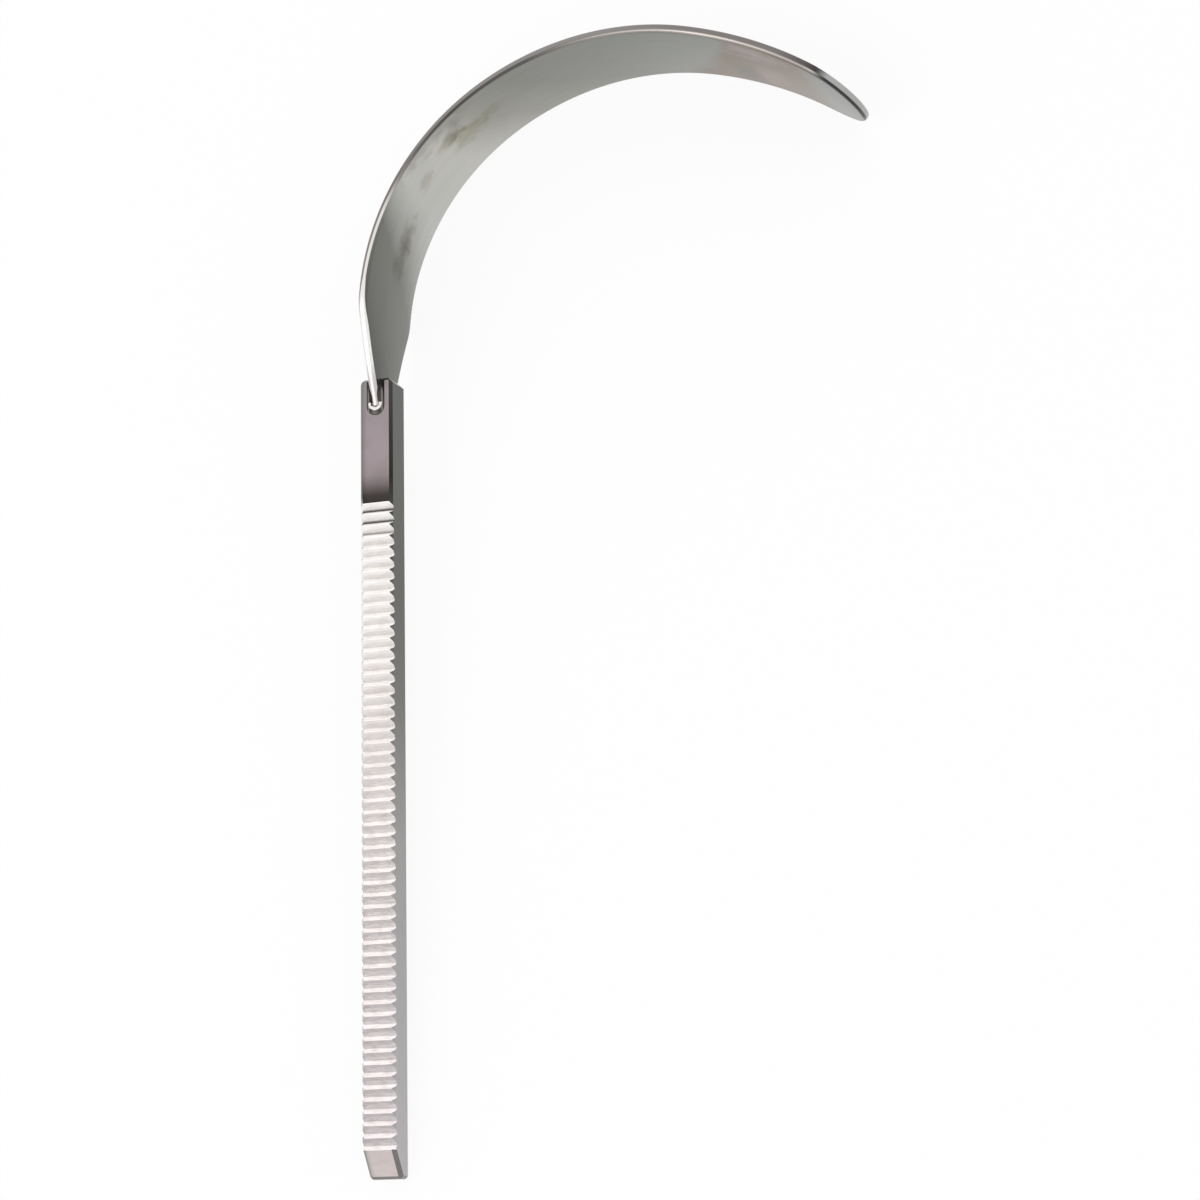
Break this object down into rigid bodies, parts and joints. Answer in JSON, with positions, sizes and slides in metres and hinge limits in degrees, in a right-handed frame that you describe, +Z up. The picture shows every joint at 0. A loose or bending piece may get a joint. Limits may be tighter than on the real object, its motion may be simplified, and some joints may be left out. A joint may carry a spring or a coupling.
{
  "type": "surgical retractor blade with ratchet bar",
  "caption": "Curved surgical retractor: a broad round-tipped steel hook brazed into a slim bar with a ratchet rack along one face.",
  "frame": {"origin": "on the table under the middle of the part as it lies on its side", "axes": "+Z up out of the table, on the toothed side of the bar; +Y along the bar from the butt end to the blade; +X the way the hook turns"},
  "size_m": [0.1454, 0.3052, 0.0341],
  "materials": {
    "bar_steel": "satin, milled teeth",
    "blade_steel": "polished, faintly brushed, with handling smudges",
    "braze_metal": "bright silver braze"
  },
  "bodies": {
    "root": {"ratchet_handle": "bar_steel", "curved_blade": "blade_steel", "braze": "braze_metal"}
  },
  "joints": []
}
